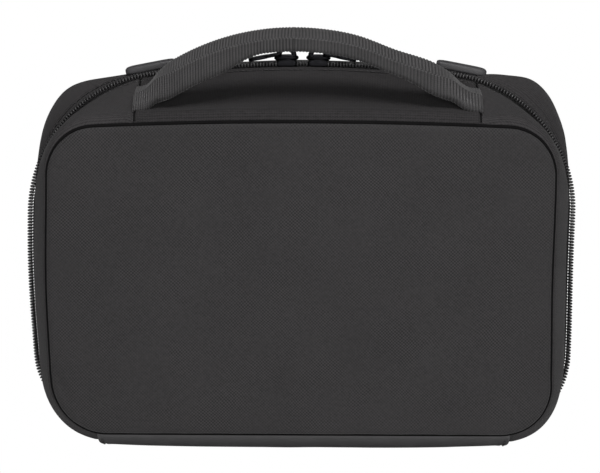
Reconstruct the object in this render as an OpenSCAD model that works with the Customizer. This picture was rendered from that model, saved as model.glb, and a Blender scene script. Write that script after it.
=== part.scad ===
// Soft-sided clamshell carry case with foam trays, a folded webbing handle and a two-way zip.
// Frame: X across the case, -Y towards the handled half, +Z up, origin in the middle of the base.

/* [Case] */
// Width over the side folds, at the zip
case_w = 270; // [250:1:290]
// Height of the ridge, at the zip
case_h = 185; // [178:1:192]
// Depth of each half, from the zip plane to the crown of its face
half_d = 48; // [44:1:54]
// Width of the flat faces
face_w = 241; // [228:1:246]
// Height of the top seam of the faces
face_top = 164.5; // [158:0.5:168]
// Height of the bottom seam of the faces
face_base = 10.5; // [6:0.5:12]
// How far the middle of a face stands proud of its seam
face_crown = 1.5; // [0.8:0.1:2.5]

/* [Corners] */
// Radius of the top corners at the zip
zip_top_r = 58; // [50:1:64]
// Radius of the bottom corners at the zip
zip_base_r = 42; // [38:1:50]
// Radius of the top corners of the faces
face_top_r = 24; // [20:1:30]
// Radius of the bottom corners of the faces
face_base_r = 23; // [20:1:34]
// Radius of the arched top at the zip
zip_arch_r = 520; // [480:10:600]
// Radius of the arched top of the faces
face_arch_r = 2200; // [1800:100:3000]
// How far the sides draw in above and below their middle
side_bow = 3; // [1:0.5:4]

/* [Zip] */
// Half the gap between the two folds that the zip runs in
fold_y = 5; // [4.6:0.1:6]
// How far the sides of the handled half stop short of the crest of the zip
near_pull = 3.5; // [1:0.5:5]
// How far the sides of the other half stop short of the crest of the zip
far_pull = 1.5; // [1:0.5:5]
// How far the tops of both halves stop short of the crest of the zip
top_pull = 1; // [0.5:0.1:1.5]
// Half the gap between the two coils
mesh_gap = 0.4; // [0.35:0.01:0.5]
// Width of one coil
coil_w = 2.6; // [2.2:0.1:2.8]
// Height of a coil over its tape
coil_h = 2; // [1.6:0.1:2]
// Distance from the middle of the case to each slider at rest
slider_x = 7.8; // [6:0.1:9]

/* [Layers] */
// Thickness of the padded shell fabric
shell_t = 1.6; // [1.2:0.1:2]
// Thickness of the lining
lining_t = 1; // [0.6:0.1:1.2]
// Thickness of the zip tape
tape_t = 0.8; // [0.6:0.1:1]
// Thickness of the stiffening board behind each face
board_t = 1.5; // [1:0.1:1.5]

/* [Foam] */
// Thickness of the foam floor
foam_floor = 6; // [5:0.5:6]
// Foam between two pockets
foam_wall = 9; // [7:0.5:12]
// Foam between the outer pockets and the edge of the tray
foam_rim = 14; // [12:0.5:18]
// Pockets across the handled half
near_columns = 4; // [3:1:5]
// Pockets across the other half
far_columns = 3; // [2:1:4]

/* [Handle] */
// Half the distance between the two sewn ends
handle_span = 86; // [84:1:88]
// Half the length of the part that swings
handle_free = 70; // [66:1:72]
// Height of the middle of the grip
handle_top = 202.5; // [200:0.5:206]
// Drop of the handle's middle line at its sewn ends
handle_drop = 32; // [30:0.5:34]
// Distance of the handle from the zip plane
handle_y = 32; // [30:0.5:34]
// Width of the folded grip
grip_w = 14; // [12:0.5:16]
// Thickness of the folded grip
grip_t = 11.5; // [10:0.5:13]
// Width of the webbing
webbing_w = 25; // [24:0.5:26]

/* [Tabs] */
// Length of a rubber tab
tab_l = 25; // [22:1:28]
// Width of a rubber tab
tab_w = 9; // [8:0.5:10]
// Thickness of a rubber tab
tab_t = 3.6; // [3:0.1:4]
// Distance from the middle of the case to the middle of a tab
tab_x = 76; // [74:0.5:80]

/* [Hidden] */

near = -1;
far = 1;
left = -1;
right = 1;
black = "#353435";
dark = "#232223";
grey = "#4b4a4b";
foam_grey = "#3c3d40";
metal = "#6d6e70";

// Depths from the zip plane at which the outline of a half is worked out
seam_y = half_d - face_crown;
lining_y = seam_y - 1.2;
binding_y = seam_y - 3.5;
binding_end = 38;
tape_y = 10;
inner_depths = [binding_end, 30, 20, tape_y];
lining_depths = concat([lining_y, binding_y], inner_depths);
shell_depths = concat([seam_y], lining_depths, [fold_y]);
strip_depths = concat(shell_depths, [mesh_gap]);
binding_depths = [binding_y, binding_end];
tape_depths = [tape_y, fold_y, mesh_gap];
coil_depths = [mesh_gap + coil_w, mesh_gap];

// Steps of each stretch of the outline, which runs right along the base and back over the top
base_n = 6;
corner_n = 8;
side_n = 5;
arch_n = 12;
seam_x = 82;
ring_n = base_n + 4 * corner_n + 2 * side_n + arch_n + 2;
strip_end = base_n + 1;
arch_start = base_n + 2 * corner_n + side_n + 1;
arch_end = arch_start + arch_n;

function clamp01(v) = max(0, min(1, v));
function mix(a, b, t) = a + (b - a) * t;
function flare(y) = clamp01((seam_y - y) / (seam_y - fold_y));
// The outline grows from the face seam to the zip: quickly at the sides and the base,
// slowly on the handled top, which is pulled hollow, and full on the other top.
function side_share(u) = pow(sin(90 * u), 0.8);
function base_share(u) = sin(90 * min(1, u / 0.4));
function top_share(half, u) = half == near
    ? 0.2 * sin(90 * min(1, u / 0.12)) + 0.8 * pow(u, 1.1)
    : 1 - pow(1 - u, 2.2);
function corner_share(half, u) = half == near ? pow(u, 1.2) : pow(u, 4);

// The tapes climb from the folds of the shell to the crest of the zip
function pull(half) = half == near ? near_pull : far_pull;
function climb(y) = clamp01((fold_y - y) / (fold_y - mesh_gap));
function half_width(half, y) =
    mix(face_w / 2, case_w / 2 - pull(half), side_share(flare(y))) + pull(half) * climb(y);
function ridge(half, y) =
    mix(face_top, case_h - top_pull, top_share(half, flare(y))) + top_pull * climb(y);

function sag(x, r) = r - sqrt(r * r - x * x);
function arc(cx, cz, r, a0, a1, n) =
    [for (i = [0:n - 1]) let (a = mix(a0, a1, i / n)) [cx + r * cos(a), cz + r * sin(a)]];
function bowed(p, hw, mid, half_h) =
    [p[0] - sign(p[0]) * side_bow * pow(abs(p[0]) / hw, 8) * pow((p[1] - mid) / half_h, 2), p[1]];

// Outline of one half at depth y, drawn in by inset, as [x, z] points
function outline(half, y, inset = 0) =
    let (u = flare(y),
        hw = half_width(half, y) - inset,
        top = ridge(half, y) - inset,
        base = mix(face_base, 0, base_share(u)) + inset,
        rt = mix(face_top_r, zip_top_r, corner_share(half, u)) - inset,
        rb = mix(face_base_r, zip_base_r, side_share(u)) - inset,
        ra = 1 / mix(1 / face_arch_r, 1 / zip_arch_r, u) - inset,
        cx = hw - rt,
        cz = top - ra + sqrt(pow(ra - rt, 2) - cx * cx),
        lean = asin(cx / (ra - rt)),
        touch = ra * sin(lean),
        mid = (top + base) / 2,
        half_h = (top - base) / 2,
        xb = hw - rb,
        zb = base + rb,
        flat = [for (i = [0:base_n - 1]) [mix(-xb, xb, i / base_n), base]],
        arch = [for (i = [0:arch_n - 1]) let (x = mix(seam_x, -seam_x, i / arch_n)) [x, top - sag(x, ra)]],
        points = concat(
            flat,
            arc(xb, zb, rb, -90, 0, corner_n),
            [for (i = [0:side_n - 1]) [hw, mix(zb, cz, i / side_n)]],
            arc(cx, cz, rt, 0, 90 - lean, corner_n),
            [[touch, top - sag(touch, ra)]],
            arch,
            [[-seam_x, top - sag(seam_x, ra)]],
            arc(-cx, cz, rt, 90 + lean, 180, corner_n),
            [for (i = [0:side_n - 1]) [-hw, mix(cz, zb, i / side_n)]],
            arc(-xb, zb, rb, 180, 270, corner_n)))
    [for (p = points) bowed(p, hw, mid, half_h)];

// Signed volume of a triangle mesh, which tells which way its faces point
function mesh_sign(points, faces) =
    let (parts = [for (f = faces) cross(points[f[0]], points[f[1]]) * points[f[2]]])
    parts * [for (v = parts) 1];

// Faces over a run of loops, each with m points, closed into a ring or capped at both ends.
// The second half of a loop lies under the first and is cut along the matching diagonals,
// so that the inside of one layer is the same surface as the outside of the next.
function skin_faces(n, m, closed) = concat(
    [for (s = [0:closed ? n - 1 : n - 2], j = [0:m - 1], half = [0, 1])
        let (s2 = (s + 1) % n, j2 = (j + 1) % m, a = s * m + j, b = s * m + j2, c = s2 * m + j2, d = s2 * m + j)
        j < m / 2
            ? (half == 0 ? [a, b, c] : [a, c, d])
            : (half == 0 ? [a, b, d] : [b, c, d])],
    closed ? [] : [for (j = [0:m / 2 - 2], half = [0, 1], last = [0, 1])
        let (b = last * (n - 1) * m, a1 = b + j, a2 = b + j + 1, c1 = b + m - 1 - j, c2 = b + m - 2 - j,
            f = half == 0 ? [a1, c1, c2] : [a1, c2, a2])
        last == 1 ? [f[2], f[1], f[0]] : f]);

module skin(loops, closed = false) {
    points = [for (l = loops) each l];
    faces = skin_faces(len(loops), len(loops[0]), closed);
    turned = mesh_sign(points, faces) > 0 ? [for (f = faces) [f[2], f[1], f[0]]] : faces;
    polyhedron(points, turned, convexity = 10);
}

// A layer of one half between two insets, from outline step i0 to i1, or all the way round
module layer(half, depths, inset0, inset1, i0 = 0, i1 = ring_n - 1, closed = false) {
    n = len(depths);
    outer = [for (y = depths) outline(half, y, inset0)];
    inner = [for (y = depths) outline(half, y, inset1)];
    loops = [for (i = [i0:i1]) let (k = i % ring_n) concat(
        [for (d = [0:n - 1]) [outer[d][k][0], half * depths[d], outer[d][k][1]]],
        [for (d = [n - 1:-1:0]) [inner[d][k][0], half * depths[d], inner[d][k][1]]])];
    skin(loops, closed);
}

// A flat sheet of one half, from depth y0 in to depth y1
module sheet(half, y0, y1, outline_y, inset) {
    y_front = half == near ? -y1 : y0;
    translate([0, y_front, 0])
        rotate([90, 0, 0])
            linear_extrude(y0 - y1)
                polygon(outline(half, outline_y, inset));
}

// The padded face: rings that shrink towards the middle while they rise to the crown
module face_panel(half) {
    ring = outline(half, seam_y);
    mid = [0, (face_top + face_base) / 2];
    steps = [[1, 0], [1, 0.35], [0.987, 0.62], [0.95, 0.78], [0.7, 0.93], [0.3, 1]];
    color(black)
        skin([for (s = steps) [for (p = ring) let (q = mid + s[0] * (p - mid))
            [q[0], half * (seam_y + s[1] * face_crown), q[1]]]]);
}

module face_board(half) {
    color(dark) sheet(half, seam_y, seam_y - board_t, seam_y, 3.5);
}

module gusset_top(half) {
    color(black) layer(half, shell_depths, 0, shell_t, arch_start, arch_end);
}

module gusset_right(half) {
    color(black) layer(half, shell_depths, 0, shell_t, strip_end, arch_start);
}

module gusset_left(half) {
    color(black) layer(half, shell_depths, 0, shell_t, arch_end, ring_n - 1);
}

module base_strip(half) {
    color(grey) layer(half, strip_depths, 0, shell_t, ring_n - 1, ring_n + strip_end);
}

module zip_tape(half) {
    color(dark) layer(half, tape_depths, shell_t, shell_t + tape_t, strip_end, ring_n - 1);
}

module zip_coil(half) {
    color(dark) layer(half, coil_depths, shell_t - coil_h, shell_t, strip_end, ring_n - 1);
}

module lining_wall(half) {
    color(foam_grey) layer(half, lining_depths, shell_t, shell_t + lining_t, closed = true);
}

module lining_face(half) {
    depth = seam_y - board_t;
    color(foam_grey) sheet(half, depth, depth - lining_t, depth, shell_t + lining_t + 0.6);
}

module seam_binding(half) {
    color(dark) layer(half, binding_depths, shell_t + lining_t, shell_t + lining_t + 0.8, closed = true);
}

foam_back = seam_y - board_t - lining_t;
foam_split = foam_back - foam_floor;
foam_mouth = fold_y + 1;
foam_inset = shell_t + lining_t + 1.1;

module foam_floor_sheet(half) {
    color(foam_grey) sheet(half, foam_back, foam_split, foam_back, foam_inset);
}

// The pockets stand in two rows inside the rim
pocket_area_w = face_w - 2 * foam_rim;
pocket_z0 = face_base + foam_rim - 4;
pocket_z1 = face_top - foam_rim + 2;
pocket_h = (pocket_z1 - pocket_z0 - foam_wall) / 2;

module foam_grid(half, columns) {
    pocket_w = (pocket_area_w - (columns - 1) * foam_wall) / columns;
    color(foam_grey) difference() {
        sheet(half, foam_split, foam_mouth, foam_split, foam_inset);
        for (c = [0:columns - 1], r = [0, 1])
            translate([c * (pocket_w + foam_wall) - pocket_area_w / 2,
                half == near ? -foam_split - 1 : foam_mouth - 1,
                pocket_z0 + r * (pocket_h + foam_wall)])
                cube([pocket_w, foam_split - foam_mouth + 2, pocket_h]);
    }
}

// Handle: the middle line is a parabola in the plane y = -handle_y, and each section stands
// upright across X, so that the swinging part turns about X without cutting its sewn ends.
pivot_z = handle_top - handle_drop * pow(handle_free / handle_span, 2);
root_w = 10;
root_t = 8;

function handle_z(x) = handle_top - handle_drop * pow(x / handle_span, 2);
function handle_section(x, w, t, tilt = 0) =
    [for (i = [0:11]) let (a = 15 + 30 * i,
            p = [w / 2 * sign(cos(a)) * pow(abs(cos(a)), 0.7), t / 2 * sign(sin(a)) * pow(abs(sin(a)), 0.7)])
        [x, -handle_y + p[0] * cos(tilt) - p[1] * sin(tilt), handle_z(x) + p[0] * sin(tilt) + p[1] * cos(tilt)]];
function grip_share(x) = clamp01((handle_free - abs(x)) / 22);

grip_steps = [for (i = [-10:10]) (handle_free - 0.3) * i / 10];

module handle_webbing() {
    outer = [for (x = grip_steps)
        handle_section(x, mix(root_w, grip_w, grip_share(x)), mix(root_t, grip_t, grip_share(x)))];
    inner = [for (x = grip_steps) handle_section(x, root_w * 0.5, root_t * 0.5)];
    n = len(grip_steps);
    color(black) skin([for (j = [0:11]) concat(
        [for (s = [0:n - 1]) outer[s][j]], [for (s = [n - 1:-1:0]) inner[s][j]])], closed = true);
}

module handle_core() {
    color(dark) skin([for (x = grip_steps) handle_section(x, root_w * 0.5, root_t * 0.5)]);
}

// The webbing opens out flat, leans with the gusset and runs into the cross seam
module handle_end(side) {
    steps = [for (i = [0:5]) i / 5];
    color(black) skin([for (t = steps) handle_section(
        side * mix(handle_free, handle_span, t),
        mix(root_w, webbing_w - 1, t), mix(root_t, 2.6, t), 14 * t)]);
}

// Moulded tab: a round-ended bar that stands on two feet, along the slope of the top
tab_depth = 12;
tab_tilt = 10.5;

function tab_ground(x) = let (y = tab_depth, u = flare(y))
    ridge(far, y) - sag(x, 1 / mix(1 / face_arch_r, 1 / zip_arch_r, u));

module tab(side) {
    r = tab_t / 2;
    foot_h = 2.6;
    color(grey)
        translate([side * tab_x, tab_depth, tab_ground(tab_x)])
            rotate([0, side * tab_tilt, 0]) {
                translate([-tab_l / 2 + r, -tab_w / 2, foot_h - 1])
                    cube([tab_l - tab_t, tab_w, tab_t]);
                for (end = [-1, 1]) {
                    translate([end * (tab_l / 2 - r), 0, foot_h - 1 + r])
                        rotate([90, 0, 0])
                            cylinder(r = r, h = tab_w, center = true, $fn = 40);
                    translate([end * (tab_l / 2 - r - 1.2), 0, (foot_h - 1) / 2 - 0.3])
                        cube([3, tab_w - 2, foot_h + 0.4], center = true);
                }
            }
}

// Sliders ride on the arch of the zip, so they are built at its crest and turned about its centre
plate_z = 0.7;
plate_t = 1.2;
plate_l = 10;
plate_w = 8.8;
bridge_h = 5.4;
bridge_l = 10;
bridge_w = 2.2;
bridge_leg = 1.4;
bar_r = 0.7;
bar_z = 4.4;
bar_x = bridge_l / 2 - bridge_leg - bar_r - 0.1;
slider_angle = asin(slider_x / zip_arch_r);

module on_arch(side) {
    translate([0, 0, case_h - zip_arch_r])
        rotate([0, side * slider_angle, 0])
            translate([0, 0, zip_arch_r])
                mirror([side == left ? 1 : 0, 0, 0])
                    children();
}

module slider_body(side) {
    lower_z = -shell_t - tape_t - top_pull - 0.4;
    color(metal) on_arch(side) {
        translate([-plate_l / 2, -plate_w / 2, plate_z]) cube([plate_l, plate_w, plate_t]);
        translate([-plate_l / 2, -plate_w / 2, lower_z - plate_t]) cube([plate_l, plate_w, plate_t]);
        translate([-plate_l / 2, -0.2, lower_z - 0.1]) cube([plate_l / 2, 0.4, plate_z - lower_z + 0.2]);
        translate([-plate_l / 2, -plate_w / 2, -shell_t + 0.3]) cube([plate_l, 0.8, plate_z + shell_t]);
    }
}

module slider_bridge(side) {
    foot = plate_z + plate_t;
    color(metal) on_arch(side)
        rotate([90, 0, 0])
            linear_extrude(bridge_w, center = true)
                difference() {
                    polygon([[-bridge_l / 2, foot], [bridge_l / 2, foot], [bridge_l / 2, foot + bridge_h - 2],
                        [bridge_l / 2 - 1.6, foot + bridge_h], [1.6 - bridge_l / 2, foot + bridge_h],
                        [-bridge_l / 2, foot + bridge_h - 2]]);
                    translate([bridge_leg - bridge_l / 2, foot - 1])
                        square([bridge_l - 2 * bridge_leg, bridge_h + 1 - bridge_leg]);
                }
}

// Puller: a cross bar through the bridge, two arms past its leg and a flat plate with an eye
puller_w = 5.6;
arm_w = 1.2;
arm_l = 6;
plate_x = bar_x + arm_l;
puller_l = 10;

module puller(side) {
    color(metal) on_arch(side) {
        translate([bar_x, 0, bar_z])
            rotate([90, 0, 0])
                cylinder(r = bar_r, h = puller_w, center = true, $fn = 32);
        for (s = [-1, 1])
            translate([bar_x, s * (puller_w - arm_w) / 2 - arm_w / 2, bar_z - 0.6])
                cube([arm_l + 0.5, arm_w, 1.2]);
        difference() {
            translate([plate_x, -puller_w / 2, bar_z - 0.6]) cube([puller_l, puller_w, 1.2]);
            translate([plate_x + puller_l - 2.8, 0, bar_z - 1]) cylinder(r = 1.3, h = 2, $fn = 32);
        }
    }
}

module near_face_panel() { face_panel(near); }
module near_face_board() { face_board(near); }
module near_gusset_top() { gusset_top(near); }
module near_gusset_left() { gusset_left(near); }
module near_gusset_right() { gusset_right(near); }
module near_base_strip() { base_strip(near); }
module near_zip_tape() { zip_tape(near); }
module near_zip_coil() { zip_coil(near); }
module near_lining_wall() { lining_wall(near); }
module near_lining_face() { lining_face(near); }
module near_seam_binding() { seam_binding(near); }
module near_foam_floor() { foam_floor_sheet(near); }
module near_foam_grid() { foam_grid(near, near_columns); }
module handle_end_left() { handle_end(left); }
module handle_end_right() { handle_end(right); }
module far_face_panel() { face_panel(far); }
module far_face_board() { face_board(far); }
module far_gusset_top() { gusset_top(far); }
module far_gusset_left() { gusset_left(far); }
module far_gusset_right() { gusset_right(far); }
module far_base_strip() { base_strip(far); }
module far_zip_tape() { zip_tape(far); }
module far_zip_coil() { zip_coil(far); }
module far_lining_wall() { lining_wall(far); }
module far_lining_face() { lining_face(far); }
module far_seam_binding() { seam_binding(far); }
module far_foam_floor() { foam_floor_sheet(far); }
module far_foam_grid() { foam_grid(far, far_columns); }
module tab_left() { tab(left); }
module tab_right() { tab(right); }
module left_slider_body() { slider_body(left); }
module left_slider_bridge() { slider_bridge(left); }
module right_slider_body() { slider_body(right); }
module right_slider_bridge() { slider_bridge(right); }
module left_puller() { puller(left); }
module right_puller() { puller(right); }

near_face_panel();
near_face_board();
near_gusset_top();
near_gusset_left();
near_gusset_right();
near_base_strip();
near_zip_tape();
near_zip_coil();
near_lining_wall();
near_lining_face();
near_seam_binding();
near_foam_floor();
near_foam_grid();
handle_end_left();
handle_end_right();
far_face_panel();
far_face_board();
far_gusset_top();
far_gusset_left();
far_gusset_right();
far_base_strip();
far_zip_tape();
far_zip_coil();
far_lining_wall();
far_lining_face();
far_seam_binding();
far_foam_floor();
far_foam_grid();
tab_left();
tab_right();
handle_webbing();
handle_core();
left_slider_body();
left_slider_bridge();
right_slider_body();
right_slider_bridge();
left_puller();
right_puller();
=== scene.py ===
# %% [markdown]
# # A soft clamshell carry case
# The case is sewn from padded black nylon round two foam trays. The rigid model gives the frame:
# its boxes say how big the case is and its bodies say what moves. Everything that shows as cloth,
# zip, webbing or foam is made again here, as surfaces worked out with numpy.

import bmesh
import bpy
import numpy as np
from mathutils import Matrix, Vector


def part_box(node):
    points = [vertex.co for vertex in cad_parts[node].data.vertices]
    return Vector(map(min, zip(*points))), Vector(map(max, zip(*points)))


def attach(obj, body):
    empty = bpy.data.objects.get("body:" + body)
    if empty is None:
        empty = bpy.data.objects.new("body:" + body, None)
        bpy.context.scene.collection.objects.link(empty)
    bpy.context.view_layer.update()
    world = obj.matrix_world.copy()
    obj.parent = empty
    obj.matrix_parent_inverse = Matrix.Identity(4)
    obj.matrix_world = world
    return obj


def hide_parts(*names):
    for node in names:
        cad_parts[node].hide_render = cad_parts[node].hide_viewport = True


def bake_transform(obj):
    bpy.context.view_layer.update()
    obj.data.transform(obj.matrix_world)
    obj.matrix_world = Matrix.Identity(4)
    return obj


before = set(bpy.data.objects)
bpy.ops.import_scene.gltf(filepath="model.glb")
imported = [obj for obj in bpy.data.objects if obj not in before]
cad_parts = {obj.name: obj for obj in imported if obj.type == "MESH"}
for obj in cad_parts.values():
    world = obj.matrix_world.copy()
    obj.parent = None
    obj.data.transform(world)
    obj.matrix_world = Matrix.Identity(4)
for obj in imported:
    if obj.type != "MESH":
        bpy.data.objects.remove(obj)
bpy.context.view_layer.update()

# %% [markdown]
# ## Sizes
# All lengths below are millimetres. The driving ones are read from the boxes of the frame's own
# parts, so that the cloth fits the model, and only the softness of the cloth is chosen here.

# %% Sizes from the frame
MM = 0.001
NEAR, FAR = -1, 1


def node_box(name):
    """Lowest and highest corner of a part of the frame, in millimetres."""
    low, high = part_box(name)
    return np.array(low) / MM, np.array(high) / MM


face_low, face_high = node_box("near_face_panel")
gusset_high = node_box("near_gusset_right")[1]
coil_high = node_box("near_zip_coil")[1]
tape_low, tape_high = node_box("near_zip_tape")
lining_low, lining_high = node_box("near_lining_wall")
arch_high = node_box("near_gusset_top")[1]

half_depth = -face_low[1]
seam_y = -face_high[1]
fold_y = -gusset_high[1]
face_half_w = face_high[0] + 1.1
face_top = face_high[2] + 0.2
face_base = face_low[2] + 0.1
mesh_gap = -coil_high[1]
seam_x = arch_high[0]
shell_t, tape_t, lining_t = 1.6, 0.8, 1.0
RIDGE_LIFT = 1.5
crest_half_w = tape_high[0] + shell_t
crest_top = tape_high[2] + shell_t + RIDGE_LIFT
fold_half_w = {NEAR: gusset_high[0], FAR: node_box("far_gusset_right")[1][0]}
fold_top = {NEAR: arch_high[2] + RIDGE_LIFT, FAR: node_box("far_gusset_top")[1][2] + RIDGE_LIFT}
print("half depth", half_depth, "seam", seam_y, "fold", fold_y, "width", 2 * crest_half_w, "top", crest_top)

# %% [markdown]
# ## One outline for every sewn layer
# Each half is a ring of cloth that grows from the face seam to the zip. The same ring, drawn in by
# a little more each time, gives the padded shell, the zip tape and the lining, so one function
# places them all and neighbours meet without gaps. The ring runs right along the base, up the
# right side, back over the arched top and down the left side.

# %% The outline of a half
FACE_TOP_R, ZIP_TOP_R = 24.0, 69.0
FACE_BASE_R, ZIP_BASE_R = 26.0, 39.0
FACE_ARCH_R, ZIP_ARCH_R = 2200.0, 520.0
SIDE_BOW = 3.0
BASE_RISE = 1.7
SEAM_SHIFT = 3.0
BELLY_SHIFT, FOOT_SHIFT = -1.1, 1.4
CORNER_STEPS = 64
STRETCHES = (("base", 110), ("corner", CORNER_STEPS), ("side", 72), ("corner", CORNER_STEPS), ("lead", 14),
             ("arch", 180), ("lead", 14), ("corner", CORNER_STEPS), ("side", 72), ("corner", CORNER_STEPS))
STRIP_STEPS = CORNER_STEPS // 8
counts = [n for _, n in STRETCHES]
stretch = np.repeat(np.arange(len(STRETCHES)), counts)
along = np.concatenate([np.arange(n) / n for n in counts])
# the points crowd together at the cross seams, where the cloth turns in sharply
along = np.select([stretch == 4, stretch == 5, stretch == 6],
                  [1 - (1 - along) ** 1.6, along - 0.8 * np.sin(2 * np.pi * along) / (2 * np.pi), along**1.6],
                  along)
RING = len(stretch)
STRIP_END = counts[0] + STRIP_STEPS
ARCH_START = sum(counts[:5])
ARCH_END = ARCH_START + counts[5]


def mix(a, b, t):
    """The value t of the way from a to b."""
    return a + (b - a) * t


def ease(t):
    """A smooth step from 0 to 1 while t runs from 0 to 1."""
    t = np.clip(t, 0, 1)
    return t * t * (3 - 2 * t)


def sag(x, radius):
    """Drop of an arch of that radius at distance x from its crest."""
    return radius - np.sqrt(radius**2 - x**2)


def outline(half, y, inset=0.0):
    """x and z of the ring at depth y from the zip plane, drawn in by inset.

    The half-width, top, base and corner radii each run from their value at the face to their
    value at the fold over the zip. The sides grow as a power of a sine, the far top as a rounded
    shoulder and the handled top almost straight. Past the fold the tape climbs to the crest of the
    zip. The sides bow in, and the ends of the base rise, by a high power of the width. The cloth
    is a little slack, so the belly of the case leans one way and its foot the other.
    """
    y = np.asarray(y, float).reshape(-1, 1)
    inset = np.asarray(inset, float)
    inset = inset.reshape(-1, 1) if inset.ndim == 1 else inset
    u = np.clip((seam_y - y) / (seam_y - fold_y), 0, 1)
    side = np.sin(u * np.pi / 2) ** 0.8
    if half == NEAR:
        rise = 0.2 * np.sin(np.clip(u / 0.12, 0, 1) * np.pi / 2) + 0.8 * u**1.1
        corner = u**1.2
    else:
        rise = 1 - (1 - u) ** 2.2
        corner = u**4
    climb = np.clip((fold_y - y) / (fold_y - mesh_gap), 0, 1)
    hw = mix(face_half_w, fold_half_w[half], side) + (crest_half_w - fold_half_w[half]) * climb - inset
    top = mix(face_top, fold_top[half], rise) + (crest_top - fold_top[half]) * climb - inset
    base = mix(face_base, 0, np.sin(np.clip(u / 0.4, 0, 1) * np.pi / 2)) + inset
    rt = mix(FACE_TOP_R, ZIP_TOP_R, corner) - inset
    rb = mix(FACE_BASE_R, ZIP_BASE_R, side) - inset
    ra = 1 / mix(1 / FACE_ARCH_R, 1 / ZIP_ARCH_R, u) - inset
    cx = hw - rt
    cz = top - ra + np.sqrt((ra - rt) ** 2 - cx**2)
    lean = np.arcsin(cx / (ra - rt))
    touch = ra * np.sin(lean)
    start = np.maximum(touch, seam_x + SEAM_SHIFT + 1.5)
    begin = np.arccos(np.clip((start - cx) / rt, -1, 1))
    xb, zb, t = hw - rb, base + rb, along[None, :]
    quarter = np.pi / 2
    right_x, left_x = seam_x + SEAM_SHIFT, SEAM_SHIFT - seam_x
    arch_x, lead_x, back_x = mix(right_x, left_x, t), mix(start, right_x, t), mix(left_x, -start, t)
    turn_up, turn_down = mix(0, begin, t), mix(np.pi - begin, np.pi, t)

    def height(x):
        on_corner = cz + np.sqrt(np.maximum(rt**2 - np.maximum(np.abs(x) - cx, 0) ** 2, 0))
        return np.where(np.abs(x) < touch, top - sag(x, ra), on_corner)

    xs = [mix(-xb, xb, t), xb + rb * np.sin(quarter * t), hw + 0 * t, cx + rt * np.cos(turn_up), lead_x,
          arch_x, back_x, rt * np.cos(turn_down) - cx, -hw + 0 * t,
          -xb - rb * np.cos(quarter * t)]
    zs = [base + 0 * t, zb - rb * np.cos(quarter * t), mix(zb, cz, t), cz + rt * np.sin(turn_up),
          height(lead_x), height(arch_x), height(back_x),
          cz + rt * np.sin(turn_down), mix(cz, zb, t), zb - rb * np.sin(quarter * t)]
    pick = [np.broadcast_to(stretch == i, (len(y), RING)) for i in range(len(STRETCHES))]
    x = np.select(pick, [np.broadcast_to(v, (len(y), RING)) for v in xs])
    z = np.select(pick, [np.broadcast_to(v, (len(y), RING)) for v in zs])
    mid, tall = (top + base) / 2, (top - base) / 2
    bow = SIDE_BOW * mix(0.3, 1.0, side)
    x = x - np.sign(x) * bow * (np.abs(x) / hw) ** 8 * ((z - mid) / tall) ** 2
    foot = np.clip(1 - (z - base) / 30, 0, 1)
    z = z + BASE_RISE * np.minimum(np.abs(x) / 100, 1) ** 4 * foot * np.clip(u / 0.3, 0, 1)
    edge = np.clip((np.abs(x) - 60) / 50, 0, 1)
    x = x + edge * (BELLY_SHIFT * np.exp(-((z - 85) / 38) ** 2) + FOOT_SHIFT * foot)
    return x, z


zip_x, zip_z = (v[0] for v in outline(NEAR, [fold_y]))
steps = np.hypot(np.diff(zip_x, append=zip_x[0]), np.diff(zip_z, append=zip_z[0]))
ring_s = np.concatenate([[0], np.cumsum(steps)[:-1]])
RING_LENGTH = steps.sum()
print("outline of", RING, "points,", round(RING_LENGTH), "mm round the zip")

# %% [markdown]
# ## From a grid of points to a piece
# A cloth layer is a closed loop of profile points carried along the ring. The helpers turn such a
# grid into quads, close the ends, give each vertex its distances along the cloth as a UV map and
# make sure that the faces point outwards, by the sign of the volume that they enclose.

# %% Mesh helpers
def grid_faces(rows, cols, wrap_rows=False, wrap_cols=False):
    """Quads between neighbours of a grid of vertices, numbered row by row."""
    r, c = np.meshgrid(np.arange(rows - (not wrap_rows)), np.arange(cols - (not wrap_cols)), indexing="ij")
    r2, c2 = (r + 1) % rows, (c + 1) % cols
    quads = np.stack([r * cols + c, r * cols + c2, r2 * cols + c2, r2 * cols + c], -1)
    return quads.reshape(-1, 4)


def strip_cap(first, count):
    """Quads across one closed loop of vertices, pairing its first half with its second."""
    j = np.arange(count // 2 - 1)
    return first + np.stack([j, j + 1, count - 2 - j, count - 1 - j], -1)


def volume(points, quads):
    """Signed volume inside a closed mesh of quads, as the sum of its corner tetrahedra."""
    a, b, c, d = (points[quads[:, i]] for i in range(4))
    return np.sum(np.cross(a, b) * c) + np.sum(np.cross(a, c) * d)


def make_piece(name, points, quads, material, body, uv=None, stands_for=(), sharp=None):
    """A mesh object from points in millimetres, riding on a body of the frame."""
    if volume(points, quads) < 0:
        quads = quads[:, ::-1]
    mesh = bpy.data.meshes.new(name)
    mesh.vertices.add(len(points))
    mesh.vertices.foreach_set("co", (points * MM).astype(np.float32).ravel())
    mesh.loops.add(quads.size)
    mesh.loops.foreach_set("vertex_index", quads.astype(np.int32).ravel())
    mesh.polygons.add(len(quads))
    mesh.polygons.foreach_set("loop_start", np.arange(0, quads.size, 4, dtype=np.int32))
    mesh.polygons.foreach_set("use_smooth", np.ones(len(quads), bool))
    mesh.update(calc_edges=True)
    mesh.validate()
    if uv is not None:
        layer = mesh.uv_layers.new(name="cloth")
        corner = np.zeros(len(mesh.loops), np.int32)
        mesh.loops.foreach_get("vertex_index", corner)
        layer.data.foreach_set("uv", (uv[corner] * MM).astype(np.float32).ravel())
    if sharp is not None:
        mesh.set_sharp_from_angle(angle=np.radians(sharp))
    piece = bpy.data.objects.new(name, mesh)
    bpy.context.scene.collection.objects.link(piece)
    mesh.materials.append(material)
    if body:
        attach(piece, body)
    if stands_for:
        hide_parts(*stands_for)
    print(name, len(points), "points")
    return piece


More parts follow.
